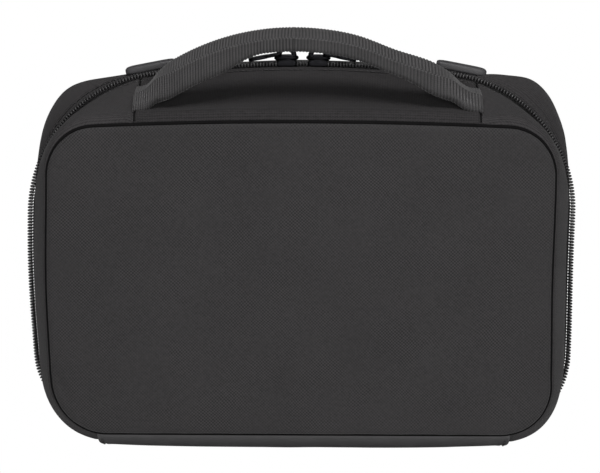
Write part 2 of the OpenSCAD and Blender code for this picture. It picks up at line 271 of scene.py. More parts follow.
def carry(name, half, depths, insets, material, stands_for, span=None, lift=None):
    """A closed profile carried round the ring of one half, or along the span (first, last) of it.

    depths and insets list the profile's points. lift, where given, is a field over profile and
    ring that moves the cloth outwards. The UV map holds the distance along the ring at
    that depth, counted from the middle of the span, and the distance along the profile.
    """
    insets = np.asarray(insets, float)[:, None] - (0 if lift is None else lift)
    x, z = outline(half, depths, np.broadcast_to(insets, (len(depths), RING)))
    closed = span is None
    pick = np.arange(RING) if closed else np.arange(span[0], span[1] + 1) % RING
    k = len(depths)
    y = np.broadcast_to(half * np.asarray(depths)[:, None], x.shape)
    points = np.stack([x, y, z], -1)[:, pick].transpose(1, 0, 2).reshape(-1, 3)
    quads = grid_faces(len(pick), k, wrap_rows=closed, wrap_cols=True)
    if not closed:
        caps = [strip_cap(0, k), strip_cap((len(pick) - 1) * k, k)[:, ::-1]]
        quads = np.concatenate([quads[:, ::-1]] + caps)
    profile = np.concatenate([[0], np.cumsum(np.hypot(np.diff(depths), np.diff(insets[:, 0])))])
    run = np.hypot(np.diff(x[:, pick], axis=1), np.diff(z[:, pick], axis=1))
    s = np.concatenate([np.zeros((k, 1)), np.cumsum(run, axis=1)], 1)
    s = s - s[:, [len(pick) // 2]] + ring_s[pick[len(pick) // 2]] + RING_LENGTH
    uv = np.stack([s.T.reshape(-1), np.tile(profile, len(pick))], -1)
    body = "near_half" if half == NEAR else "far_half"
    return make_piece(name, points, quads, material, body, uv, stands_for, sharp=60)


def wobble(position, length, seed, total=RING_LENGTH):
    """Smooth noise between -1 and 1 along the ring, with bumps of about that length."""
    n = max(4, int(round(total / length)))
    values = np.random.default_rng(seed).uniform(-1, 1, n)
    f = np.asarray(position) / total * n
    i = np.floor(f).astype(int)
    return mix(values[i % n], values[(i + 1) % n], ease(f - i))


# %% [markdown]
# ## Materials
# Each finish starts from the real one. Cloth is woven in the shader from sine waves whose length is
# the yarn spacing in millimetres, taken from a UV map that runs along the cloth, or from object
# coordinates on flat faces. Colours are sRGB hex values turned to linear by one function.

# %% Shader helpers
def linear(hex_code):
    """Linear RGBA of an sRGB hex colour."""
    value = np.array([int(hex_code[i:i + 2], 16) for i in (1, 3, 5)]) / 255
    value = np.where(value <= 0.04045, value / 12.92, ((value + 0.055) / 1.055) ** 2.4)
    return (*value, 1.0)


def add(tree, kind, links=None, **settings):
    """One shader node with its settings; links maps an input to a node, a socket or a value."""
    node = tree.nodes.new(kind)
    for key, value in settings.items():
        setattr(node, key, value)
    for key, value in (links or {}).items():
        if isinstance(value, bpy.types.Node):
            value = value.outputs[0]
        if isinstance(value, bpy.types.NodeSocket):
            tree.links.new(value, node.inputs[key])
        else:
            node.inputs[key].default_value = value
    return node


def new_material(name, **surface):
    """A material with one Principled surface and its output, ready for patterns."""
    material = bpy.data.materials.new(name)
    material.use_nodes = True
    tree = material.node_tree
    tree.nodes.clear()
    shader = add(tree, "ShaderNodeBsdfPrincipled", surface)
    add(tree, "ShaderNodeOutputMaterial", {"Surface": shader.outputs[0]})
    return material, tree, shader


def woven_height(tree, a, b, yarn_mm):
    """Height of a plain weave over two coordinates, and which yarn is on top.

    Warp and weft are the humps of two sines. The product of the two sines, steepened and held
    between 0 and 1, says which of the two lies on top, so it is a field of soft checks.
    """
    waves = []
    for coordinate in (a, b):
        angle = add(tree, "ShaderNodeMath", {0: coordinate, 1: np.pi / (yarn_mm * MM)}, operation="MULTIPLY")
        waves.append(add(tree, "ShaderNodeMath", {0: angle}, operation="SINE"))
    humps = [add(tree, "ShaderNodeMath", {0: w}, operation="ABSOLUTE") for w in waves]
    product = add(tree, "ShaderNodeMath", {0: waves[0], 1: waves[1]}, operation="MULTIPLY")
    over = add(tree, "ShaderNodeMath", {0: product, 1: 3.0, 2: 0.5}, operation="MULTIPLY_ADD", use_clamp=True)
    height = add(tree, "ShaderNodeMix", {"Factor": over, "A": humps[1], "B": humps[0]}, data_type="FLOAT")
    return height.outputs[0], over.outputs[0]


def finish_cloth(tree, shader, height, low, high, bump_mm, patch_mm=35, bright=None):
    """Colour and bump of cloth: painted highlight on top of the yarns and painted shade between them, and
    lighter where dust lies in slow patches.

    The colour runs from low to high with the brightness field (the height, if none is given) plus
    0.36 of a slow noise and 0.7 of a fine one, both centred on nought.
    """
    where = add(tree, "ShaderNodeTexCoord").outputs["Object"]
    level = height if bright is None else bright
    for size_mm, detail, share in ((patch_mm, 3.0, 0.36), (1.6, 2.0, 0.7)):
        noise = add(tree, "ShaderNodeTexNoise",
                    {"Vector": where, "Scale": 1 / (size_mm * MM), "Detail": detail})
        shift = add(tree, "ShaderNodeMath", {0: noise, 1: share, 2: -share / 2}, operation="MULTIPLY_ADD")
        level = add(tree, "ShaderNodeMath", {0: level, 1: shift}, operation="ADD")
    # where the height drives the colour, the light yarn crowns are painted highlight and the dark valleys are
    # painted shade
    colour = add(tree, "ShaderNodeMix", {"Factor": level, 6: linear(low), 7: linear(high)}, data_type="RGBA")
    tree.links.new(colour.outputs[2], shader.inputs["Base Color"])
    bump = add(tree, "ShaderNodeBump", {"Height": height, "Distance": bump_mm * MM, "Strength": 0.8})
    tree.links.new(bump.outputs[0], shader.inputs["Normal"])


def finish_moulding(tree, shader, low, high, patch_mm, grain_mm, bump_mm):
    """Colour and bump of a smooth surface: slow noise between two shades and a fine noise as its grain."""
    where = add(tree, "ShaderNodeTexCoord").outputs["Object"]
    patch = add(tree, "ShaderNodeTexNoise", {"Vector": where, "Scale": 1 / (patch_mm * MM), "Detail": 4.0})
    colour = add(tree, "ShaderNodeMix", {"Factor": patch, 6: linear(low), 7: linear(high)}, data_type="RGBA")
    tree.links.new(colour.outputs[2], shader.inputs["Base Color"])
    grain = add(tree, "ShaderNodeTexNoise", {"Vector": where, "Scale": 1 / (grain_mm * MM), "Detail": 2.0})
    bump = add(tree, "ShaderNodeBump", {"Height": grain, "Distance": bump_mm * MM})
    tree.links.new(bump.outputs[0], shader.inputs["Normal"])


def cloth_axes(tree, flat=False):
    """The two coordinates of the weave: along the UV map, or x and z on a flat face."""
    where = add(tree, "ShaderNodeTexCoord").outputs["Object" if flat else "UV"]
    split = add(tree, "ShaderNodeSeparateXYZ", {0: where})
    return split.outputs[0], split.outputs[2 if flat else 1]


# %% Cloth and strip finishes
RIB_MM = 1.55


def ballistic_nylon():
    """1680 denier nylon in a basket weave: thick bright yarns, so a coarse checked grain.

    The checks show more in some patches than in others, as the yarns lie more or less flat.
    """
    material, tree, shader = new_material("ballistic_nylon", Roughness=0.78)
    shader.inputs["Specular IOR Level"].default_value = 0.35
    shader.inputs["Sheen Weight"].default_value = 0.08
    where = add(tree, "ShaderNodeTexCoord").outputs["Object"]
    sway = add(tree, "ShaderNodeTexNoise", {"Vector": where, "Scale": 1 / (9 * MM), "Detail": 3.0})
    axes = [add(tree, "ShaderNodeMath", {0: sway, 1: 1.6 * MM, 2: axis}, operation="MULTIPLY_ADD").outputs[0]
            for axis in cloth_axes(tree, flat=True)]
    height, over = woven_height(tree, *axes, 0.8)
    patch = add(tree, "ShaderNodeTexNoise", {"Vector": where, "Scale": 1 / (14 * MM), "Detail": 3.0})
    share = add(tree, "ShaderNodeMath", {0: patch, 1: 2.2, 2: -0.45}, operation="MULTIPLY_ADD",
                use_clamp=True)
    centred = add(tree, "ShaderNodeMath", {0: over, 1: 0.5}, operation="SUBTRACT")
    bright = add(tree, "ShaderNodeMath", {0: centred, 1: share, 2: 0.5}, operation="MULTIPLY_ADD")
    finish_cloth(tree, shader, height, "#181718", "#343233", 0.08, bright=bright.outputs[0])
    return material


def gusset_nylon(name, low, high):
    """Finer 420 denier nylon in a plain weave on the sides and the top. A darker copy of it is painted shade
    under the handle.
    """
    material, tree, shader = new_material(name, Roughness=0.8)
    shader.inputs["Specular IOR Level"].default_value = 0.2
    shader.inputs["Sheen Weight"].default_value = 0.04
    a, b = cloth_axes(tree)
    finish_cloth(tree, shader, woven_height(tree, a, b, 0.8)[0], low, high, 0.12)
    return material


def coated_cloth():
    """Polyurethane-coated cloth on the base: the coat fills the weave, so it is smooth with a soft gloss."""
    material, tree, shader = new_material("coated_cloth", Roughness=0.5)
    finish_moulding(tree, shader, "#323132", "#444344", 9, 0.5, 0.04)
    return material


def nylon_webbing():
    """Ribbed nylon webbing: each rib is a bundle of fine yarns that run across it."""
    material, tree, shader = new_material("nylon_webbing", Roughness=0.6)
    shader.inputs["Sheen Weight"].default_value = 0.15
    fields = []
    for coordinate, length_mm, swing, middle in zip(cloth_axes(tree), (RIB_MM, 0.6), (0.5, 0.2), (0.5, 0.0)):
        angle = add(tree, "ShaderNodeMath", {0: coordinate, 1: 2 * np.pi / (length_mm * MM)},
                    operation="MULTIPLY")
        wave = add(tree, "ShaderNodeMath", {0: angle}, operation="SINE")
        fields.append(add(tree, "ShaderNodeMath", {0: wave, 1: swing, 2: middle}, operation="MULTIPLY_ADD"))
    height = add(tree, "ShaderNodeMath", {0: fields[0], 1: fields[1]}, operation="ADD")
    finish_cloth(tree, shader, height.outputs[0], "#0f0e0f", "#3a3839", 0.08, 20)
    return material


def polyester_tape(name, low, high, yarn_mm, rough=0.8):
    """Narrow woven polyester: zip tape, binding or lining, told apart by yarn and shade."""
    material, tree, shader = new_material(name, Roughness=rough)
    a, b = cloth_axes(tree)
    finish_cloth(tree, shader, woven_height(tree, a, b, yarn_mm)[0], low, high, 0.06)
    return material


twill = ballistic_nylon()
gusset = gusset_nylon("gusset_nylon", "#121112", "#3b393a")
# darker copy of the gusset nylon: painted shade for the near top panel under the handle
gusset_painted_shade = gusset_nylon("gusset_nylon_painted_shade", "#0e0d0e", "#302e2f")
coated = coated_cloth()
webbing = nylon_webbing()
tape = polyester_tape("polyester_zip_tape", "#0b0b0b", "#1d1c1d", 0.35)
binding = polyester_tape("polyester_binding", "#121212", "#262526", 0.45)
lining = polyester_tape("polyester_lining", "#26272a", "#3f4044", 0.3, 0.65)
print("cloth finishes", [m.name for m in (twill, gusset, coated, webbing, tape, binding, lining)])


# %% Plastic, metal and foam finishes
def moulded(name, low, high, rough, grain_mm, bump_mm, specular=0.5):
    """A moulded or drawn plastic or rubber: one shade with a faint grain from the mould."""
    material, tree, shader = new_material(name, Roughness=rough)
    shader.inputs["Specular IOR Level"].default_value = specular
    finish_moulding(tree, shader, low, high, 6, grain_mm, bump_mm)
    return material


def black_nickel():
    """Die-cast zinc with a black nickel plate: dark, mirror-like on edges, slightly uneven."""
    material, tree, shader = new_material("black_nickel", Metallic=1.0)
    finish_moulding(tree, shader, "#0b0b0c", "#1c1c1e", 2.5, 0.8, 0.01)
    where = add(tree, "ShaderNodeTexCoord").outputs["Object"]
    smear = add(tree, "ShaderNodeTexNoise", {"Vector": where, "Scale": 1 / (0.8 * MM), "Detail": 3.0})
    rough = add(tree, "ShaderNodeMath", {0: smear, 1: 0.2, 2: 0.25}, operation="MULTIPLY_ADD")
    tree.links.new(rough.outputs[0], shader.inputs["Roughness"])
    return material


def open_cell_foam():
    """Charcoal polyurethane foam: a matte skin pitted by cut cells about a millimetre wide."""
    material, tree, shader = new_material("open_cell_foam", Roughness=0.95)
    where = add(tree, "ShaderNodeTexCoord").outputs["Object"]
    cells = add(tree, "ShaderNodeTexVoronoi", {"Vector": where, "Scale": 1 / (0.9 * MM)})
    depth = add(tree, "ShaderNodeMath", {0: cells, 1: 1.3}, operation="MULTIPLY", use_clamp=True)
    colour = add(tree, "ShaderNodeMix", {"Factor": depth, 6: linear("#202124"), 7: linear("#3d3e42")},
                 data_type="RGBA")
    tree.links.new(colour.outputs[2], shader.inputs["Base Color"])
    bump = add(tree, "ShaderNodeBump", {"Height": depth, "Distance": 0.35 * MM, "Strength": 0.7})
    tree.links.new(bump.outputs[0], shader.inputs["Normal"])
    return material


rubber = moulded("thermoplastic_rubber", "#353436", "#454446", 0.5, 0.4, 0.03)
coil_nylon = moulded("nylon_coil", "#232223", "#3d3c3d", 0.4, 0.5, 0.01)
# near-black finish of the seam cords, which stand in for the shade in the seam grooves: painted shade
seam_shade_paint = moulded("black_painted_seam_shade", "#080808", "#111011", 0.9, 0.5, 0.02, 0.1)
thread = moulded("bonded_polyester_thread", "#1c1b1c", "#2d2c2d", 0.55, 0.3, 0.02)
board = moulded("polypropylene_board", "#19191a", "#242425", 0.6, 0.8, 0.02)
core = moulded("foam_cord", "#151515", "#202020", 0.9, 0.6, 0.05)
nickel = black_nickel()
foam = open_cell_foam()
print("hard finishes", [m.name for m in (rubber, coil_nylon, thread, board, core, nickel, foam)])

# %% [markdown]
# ## Padded faces
# Each face is a panel of ballistic nylon over thin foam, sewn face to face with the gusset and
# turned, so its edge rolls into the seam and the middle stands a little proud. Rings that follow
# the outline give an even roll, and further in they shrink to the middle. Short puckers
# run in from the seam where the stitches pull, and one soft crease sits near the lower left corner.


# %% Face panels
def face_panel(half, seed):
    """Rings from the middle of the back, round the rolled edge, to the middle of the front.

    Near the edge a ring is the outline drawn in by its distance d, with a quarter-ellipse roll.
    Past the roll the rings shrink towards the middle while a parabola lifts the crown.
    """
    roll_w, roll_h, rim = 2.8, 1.3, 0.95
    d = roll_w * (1 - np.cos(np.linspace(0, np.pi / 2, 9)))
    edge = [(3.6, 0.02), (3.5, -0.75), (rim + 0.1, -0.75), (rim + 0.03, -0.2)]
    edge += [(rim + v, roll_h * np.sqrt(max(0.0, 1 - (1 - v / roll_w) ** 2))) for v in d]
    edge += [(rim + v, roll_h) for v in np.linspace(3.6, 18, 16)]
    insets, rises = (np.array(v) for v in zip(*edge))
    x, z = outline(half, np.full(len(edge), seam_y), insets)
    shrink = np.concatenate([np.linspace(0.97, 0.06, 30), [0.02]])
    mid_z = (face_top + face_base) / 2
    x = np.concatenate([x[:1] * 0.02, x, x[-1] * shrink[:, None]])
    z = np.concatenate([mid_z + (z[:1] - mid_z) * 0.02, z, mid_z + (z[-1] - mid_z) * shrink[:, None]])
    rises = np.concatenate([[0.0], rises, np.full(len(shrink), roll_h)])
    front = np.arange(len(rises)) > 5
    reach = np.maximum(np.abs(x) / face_half_w, np.abs(z - mid_z) / (face_top - mid_z))
    crown = (half_depth - seam_y - roll_h + 1.2) * (1 - reach**2.5)
    from_edge = (1 - reach) * 70
    pucker = 0.34 * wobble(ring_s, 7.5, seed) + 0.2 * wobble(ring_s, 17, seed + 1)
    pucker = pucker[None, :] * np.exp(-from_edge / 5) * np.clip(from_edge / 0.8, 0, 1)
    soft = 0.22 * np.sin(x / 31 + 1.3 * seed) * np.sin(z / 24 + 0.7) * (1 - reach**4)
    crease_x, crease_z = x - 116 * half, z - 36
    crease = -0.7 * np.exp(-((crease_x + 0.5 * crease_z) / 2.0) ** 2 - ((crease_z - crease_x) / 8) ** 2)
    crease -= 0.6 * np.exp(-((x - 108 * half) / 3.0) ** 2 - ((z - 15) / 1.8) ** 2)
    y = seam_y + rises[:, None] + np.where(front[:, None], crown * (reach < 1) + pucker + soft + crease, 0)
    points = np.stack([x, half * y, z], -1).reshape(-1, 3)
    quads = np.concatenate([grid_faces(len(rises), RING, wrap_cols=True),
                            strip_cap(0, RING)[:, ::-1], strip_cap((len(rises) - 1) * RING, RING)])
    name = "near" if half == NEAR else "far"
    piece = make_piece(name + "_face_cloth", points, quads, twill, name + "_half",
                       stands_for=[name + "_face_panel"])
    return piece


face_panel(NEAR, 3)
face_panel(FAR, 8)

# %% [markdown]
# ## Gussets
# The side wall of each half is three panels of finer nylon over thin foam. They meet at two cross
# seams on the top, and each panel rolls into the face seam at one edge and folds over the zip
# tape at the other. The handled top is pulled a little hollow under the handle.


# %% Gusset relief
def near_seam(centre_s, width):
    """A smooth bump of that width along the ring around one distance."""
    gap = np.abs((ring_s - centre_s + RING_LENGTH / 2) % RING_LENGTH - RING_LENGTH / 2)
    return np.exp(-(gap / width) ** 2)


seam_s = [ring_s[i] for i in (ARCH_START, ARCH_END)]
strip_s = [ring_s[STRIP_END], ring_s[RING - STRIP_STEPS]]


def gusset_relief(half, depths, seed):
    """How far the padded wall stands out or in, over depth and along the ring.

    Grooves lie on the cross seams and along the topstitching, puckers fade away from both
    edges, and slow waves keep the cloth from looking moulded.
    """
    y = np.asarray(depths)[:, None]
    s = ring_s[None, :]
    relief = 0.18 * wobble(ring_s, 12, seed) * np.exp(-(seam_y - y) / 4.5)
    relief = relief + 0.18 * wobble(ring_s, 5, seed + 1) * np.exp(-((y - STITCH_Y) / 2.4) ** 2)
    relief -= 0.55 * np.exp(-((y - STITCH_Y) / 0.6) ** 2)
    relief += 0.45 * wobble(ring_s, 46, seed + 2) * np.sin((y - fold_y) / (seam_y - fold_y) * np.pi)
    relief += 0.3 * wobble(s + 0.9 * y, 24, seed + 3) * np.sin((y - fold_y) / (seam_y - fold_y) * np.pi)
    for centre in seam_s:
        relief -= 1.6 * near_seam(centre, 0.8)
        relief += 0.35 * near_seam(centre, 4.5)
    over = ease((84 - np.abs(zip_x)) / 26) * (zip_z > face_top)
    if half == NEAR:
        relief += over * (0.5 * np.exp(-((y - 43) / 2.5) ** 2) - 1.5 * np.exp(-((y - 30) / 9) ** 2))
    else:
        relief += 0.9 * over * np.exp(-((y - 14) / 7) ** 2)
        relief += 2.6 * np.exp(-((zip_x - 100) / 18) ** 2 - ((y - 17) / 12) ** 2) * (zip_z > face_top - 40)
    for centre in strip_s:
        relief -= 1.0 * near_seam(centre, 14.0) + 0.5 * near_seam(centre, 1.6)
    return relief


STITCH_Y = fold_y + 2.7
wall_y = seam_y - 0.85
wall = np.concatenate([wall_y - 1.15 * (1 - np.cos(np.linspace(0, np.pi / 2, 6))),
                       np.linspace(wall_y - 1.9, STITCH_Y + 1.6, 30),
                       np.linspace(STITCH_Y + 1.1, fold_y + 1.3, 8),
                       fold_y + 1.1 * (1 - np.sin(np.linspace(0, np.pi / 2, 6)))])
wall_inset = np.zeros(len(wall))
wall_inset[:6] = 0.8 * (1 - np.sin(np.linspace(0, np.pi / 2, 6)))
wall_inset[-6:] = 1.1 * (1 - np.cos(np.linspace(0, np.pi / 2, 6)))
BACK_STEPS = len(wall)


def gusset_panels(half, seed):
    """The three padded panels of one half: out along the wall's outside and back along its inside."""
    inner_y = wall[::-1]
    inner_inset = np.full(BACK_STEPS, shell_t)
    lift = np.zeros((2 * BACK_STEPS, RING))
    relief = gusset_relief(half, wall, seed)
    lift[:BACK_STEPS] = np.maximum(relief, wall_inset[:, None] - shell_t + 0.25)
    name = "near" if half == NEAR else "far"
    spans = {"top": (ARCH_START, ARCH_END), "right": (STRIP_END, ARCH_START),
             "left": (ARCH_END, RING - STRIP_STEPS)}
    for part, span in spans.items():
        # the near top panel takes the darker copy, which paints the handle's shade on it
        cloth = gusset_painted_shade if (half, part) == (NEAR, "top") else gusset
        piece = carry(f"{name}_gusset_{part}_cloth", half, np.concatenate([wall, inner_y]),
                      np.concatenate([wall_inset, inner_inset]), cloth,
                      [f"{name}_gusset_{part}"], span, lift)


gusset_panels(NEAR, 21)
gusset_panels(FAR, 41)

# %% A bent round bar
def tube(path, radius, sides=6, across=(1.0, 0, 0)):
    """A bent round bar: rings of vertices square to a flat path, and its quads.

    across is the direction square to the plane that the path lies in.
    """
    path = np.asarray(path, float)
    way = np.gradient(path, axis=0)
    way /= np.linalg.norm(way, axis=1)[:, None]
    across = np.array(across)
    up = np.cross(way, across)
    a = np.arange(sides) * 2 * np.pi / sides
    ring = np.cos(a)[None, :, None] * across + np.sin(a)[None, :, None] * up[:, None, :]
    points = (path[:, None, :] + radius * ring).reshape(-1, 3)
    n = len(path)
    caps = [strip_cap(0, sides)[:, ::-1], strip_cap((n - 1) * sides, sides)]
    return points, np.concatenate([grid_faces(n, sides, wrap_cols=True)] + caps)


# %% Painted shade in the face seam: a near-black cord in the groove
SEAM_SHADE_R, SEAM_SHADE_INSET = 0.4, 0.75
turn = np.linspace(0, 2 * np.pi, 12, endpoint=False)
for half, name in ((NEAR, "near"), (FAR, "far")):
    carry(name + "_painted_seam_shade", half, seam_y - SEAM_SHADE_R + SEAM_SHADE_R * np.cos(turn),
          SEAM_SHADE_INSET + SEAM_SHADE_R * np.sin(turn), seam_shade_paint, ())


# %% Painted shade in the cross seams: near-black cords in the grooves
for half, name in ((NEAR, "near"), (FAR, "far")):
    for index, label in ((ARCH_START, "right"), (ARCH_END, "left")):
        ys = np.linspace(fold_y + 0.6, wall_y - 0.4, 60)
        x, z = (v[:, index] for v in outline(half, ys, 0.45))
        points, quads = tube(np.stack([x, half * ys, z], -1), 0.32, 8)
        make_piece(f"{name}_cross_seam_{label}", points, quads, seam_shade_paint, name + "_half")

# %% [markdown]
# ## Base strip and spine
# A strip of coated cloth runs along the base, where the case rubs. Each end is folded under and
# stitched down. The two strips meet at the fold that the case opens on, and a flat tape sewn
# inside that fold lies across it, fixed to neither half.


# %% Base strips
def base_strip(half):
    """The strip's outside runs from the face seam to the fold; its ends are raised by a folded hem."""
    wall_y = np.concatenate([wall[:-14], np.linspace(STITCH_Y, mesh_gap + 0.6, 14), [mesh_gap]])
    inset = np.zeros(len(wall_y))
    inset[:6] = wall_inset[:6]
    inset[-1] = 0.5
    k = len(wall_y)
    lift = np.zeros((2 * k, RING))
    hem = 0
    for centre in strip_s:
        gap = np.abs((ring_s - centre + RING_LENGTH / 2) % RING_LENGTH - RING_LENGTH / 2)
        hem = hem + 0.6 * np.exp(-(gap / 5.5) ** 4) - 0.6 * np.exp(-((gap - 3.4) / 0.8) ** 2)
        hem = hem - 0.5 * np.exp(-(gap / 0.8) ** 2)
    lift[:k] = 0.12 * wobble(ring_s, 14, 77)[None, :] * (wall_y > 30)[:, None]
    lift[:k] += ease((wall_y - 8) / 6)[:, None] * hem[None, :]
    name = "near" if half == NEAR else "far"
    piece = carry(name + "_base_strip_cloth", half, np.concatenate([wall_y, wall_y[::-1]]),
                  np.concatenate([inset, np.full(k, shell_t)]), coated,
                  [name + "_base_strip"], (RING - STRIP_STEPS, RING + STRIP_END), lift)


base_strip(NEAR)
base_strip(FAR)


def spine_tape():
    """A flat tape over the inside of the fold: a rounded rectangle carried along x."""
    half_w, half_t, z_mid = 6.0, 0.35, shell_t + 0.45
    t = np.linspace(0, 2 * np.pi, 48, endpoint=False)
    y = half_w * np.sign(np.cos(t)) * np.abs(np.cos(t)) ** 0.5
    z = z_mid + half_t * np.sign(np.sin(t)) * np.abs(np.sin(t)) ** 0.3
    xs = np.linspace(-84, 84, 90)
    points = np.stack([np.repeat(xs, 48), np.tile(y, 90), np.tile(z, 90)], -1)
    quads = np.concatenate([grid_faces(90, 48, wrap_cols=True)[:, ::-1],
                            strip_cap(0, 48), strip_cap(89 * 48, 48)[:, ::-1]])
    uv = np.stack([points[:, 0] + 100, points[:, 1] + 10], -1)
    piece = make_piece("spine_tape_cloth", points, quads, binding, None, uv)
    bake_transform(piece)


spine_tape()

# %% [markdown]
# ## Zip
# The zip is a tape on each half with a nylon coil sewn to its edge. A coil is one filament bent
# into hundreds of small loops, so one loop with a few dozen faces is made once and set along the
# outline, turned to follow it. The loops of the far half sit half a pitch further on, as they mesh.


# %% Zip tapes
def zip_tape(half):
    """A thin band under the fold of the gusset, from its sewn edge to the coil."""
    ys = np.concatenate([np.linspace(10, mesh_gap + 0.3, 12), [mesh_gap + 0.1, mesh_gap]])
    dip = np.concatenate([np.zeros(12), [0.1, 0.3]])
    depths = np.concatenate([ys, ys[::-1]])
    insets = np.concatenate([shell_t + dip, (shell_t + tape_t - dip)[::-1]])
    name = "near" if half == NEAR else "far"
    span = (STRIP_END, RING - STRIP_STEPS)
    piece = carry(name + "_zip_tape_cloth", half, depths, insets, tape,
                  [name + "_zip_tape"], span)


zip_tape(NEAR)
zip_tape(FAR)


# %% Coil loops and stitches
def along_outline(half, y, inset, spacing, start=0.0, span=(STRIP_END, RING - STRIP_STEPS)):
    """Origins and frames at even steps along the ring: x runs on, y across and z out of the cloth."""
    x, z = (v[0] for v in outline(half, [y], [inset]))
    x, z = x[span[0]:span[1]], z[span[0]:span[1]]
    s = np.concatenate([[0], np.cumsum(np.hypot(np.diff(x), np.diff(z)))])
    at = np.arange(spacing / 2 + start, s[-1], spacing)
    px, pz = np.interp(at, s, x), np.interp(at, s, z)
    tx, tz = np.interp(at, s, np.gradient(x, s)), np.interp(at, s, np.gradient(z, s))
    length = np.hypot(tx, tz)
    tx, tz = tx / length, tz / length
    origins = np.stack([px, np.full_like(px, half * y), pz], -1)
    zero = np.zeros_like(tx)
    frames = np.stack([np.stack([tx, zero, tz], -1), np.stack([zero, zero + half, zero], -1),
                       np.stack([tz, zero, -tx], -1)], 1)
    return origins, frames


def scatter(name, shape, origins, frames, material, body, stands_for=()):
    """One mesh of many copies of a small shape, each in its own frame."""
    points, quads = shape
    spread = np.einsum("pi,nij->npj", points, frames) + origins[:, None, :]
    shifted = quads[None] + (np.arange(len(origins)) * len(points))[:, None, None]
    return make_piece(name, spread.reshape(-1, 3), shifted.reshape(-1, 4), material, body,
                      stands_for=stands_for)


COIL_PITCH = 1.5
for half, name in ((NEAR, "near"), (FAR, "far")):
    path = [(0, 2.9, 0.1), (0, 2.8, 1.4), (0, 1.9, 2.05), (0, 0.8, 2.05), (0, 0.1, 1.5), (0, 0.05, 0.3)]
    loop = tube(path, 0.4)
    start = 0.0 if half == NEAR else COIL_PITCH / 2
    origins, frames = along_outline(half, mesh_gap, shell_t, COIL_PITCH, start)
    scatter(name + "_zip_coil_loops", loop, origins, frames, coil_nylon, name + "_half",
            [name + "_zip_coil"])
    print(name, len(origins), "coil loops")


# %% Topstitching
STITCH_PITCH = 2.9
STITCH = tube([(-1.25, 0, -0.4), (-0.95, 0, 0.05), (0, 0, 0.2), (0.95, 0, 0.05), (1.25, 0, -0.4)], 0.21,
              across=(0, 1.0, 0))


def stitch_row(name, half, y, inset, span=(STRIP_END, RING - STRIP_STEPS)):
    """Thread that dips into the cloth between one stitch and the next, along the ring."""
    origins, frames = along_outline(half, y, inset, STITCH_PITCH, span=span)
    body = "near_half" if half == NEAR else "far_half"
    return scatter(name, STITCH, origins, frames, thread, body)


def hem_row(name, half, index):
    """Stitches across the base strip, square to the ring at one of its points."""
    ys = np.arange(fold_y + 2, seam_y - 2, STITCH_PITCH)
    x, z = (v[:, index % RING] for v in outline(half, ys, 0.0))
    x2, z2 = (v[:, (index + 1) % RING] for v in outline(half, ys, 0.0))
    run = np.stack([x2 - x, 0 * x, z2 - z], -1)
    run /= np.linalg.norm(run, axis=1)[:, None]
    out = np.stack([run[:, 2], 0 * x, -run[:, 0]], -1)
    across = np.zeros_like(run)
    across[:, 1] = half
    origins = np.stack([x, half * ys, z], -1) + 0.3 * out
    body = "near_half" if half == NEAR else "far_half"
    return scatter(name, STITCH, origins, np.stack([across, run, out], 1), thread, body)


for half, name in ((NEAR, "near"), (FAR, "far")):
    stitch_row(name + "_zip_topstitch", half, STITCH_Y, 0.22)
    hem_row(name + "_hem_stitch_right", half, STRIP_END - 3)
    hem_row(name + "_hem_stitch_left", half, RING - STRIP_STEPS + 3)

# %% [markdown]
# ## Lining, binding and boards
# Inside, a smooth polyester lining covers the walls and the back of the face board, and a narrow
# binding tape hides the raw edges of the inner seam. They are the same ring again, drawn in further.

# %% Lining and binding
def round_loop(y0, y1, inset0, inset1, steps, soft=0.3):
    """Profile of a band between two depths and two insets, with its corners rounded off."""
    ys = np.linspace(y0, y1, steps)
    ease_in = np.minimum(1, np.minimum(np.abs(ys - y0), np.abs(ys - y1)) / soft)
    dip = soft * (1 - np.sqrt(1 - (1 - ease_in) ** 2))
    return np.concatenate([ys, ys[::-1]]), np.concatenate([inset0 + dip, (inset1 - dip)[::-1]])


for half, name in ((NEAR, "near"), (FAR, "far")):
    depths, insets = round_loop(tape_low[1] * -1, lining_high[1] * 0 - lining_low[1], shell_t,
                                shell_t + lining_t, 14)
    wall_piece = carry(name + "_lining_wall_cloth", half, depths, insets, lining,
                       [name + "_lining_wall"])
    depths, insets = round_loop(33.6, 43.9, shell_t + lining_t, shell_t + lining_t + 0.8, 12, 0.35)
    tape_piece = carry(name + "_seam_binding_cloth", half, depths, insets, binding,
                       [name + "_seam_binding"])
    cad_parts[name + "_face_board"].data.materials.clear()
    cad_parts[name + "_face_board"].data.materials.append(board)


# %% [markdown]
# ## Foam trays
# Each tray is a floor and a pierced block, cut from charcoal foam with a blade, so its edges are
# only slightly rounded. A flat curve with holes, extruded and bevelled, is the natural way to cut
# it: the bevel gives the edge and the fill gives the face.


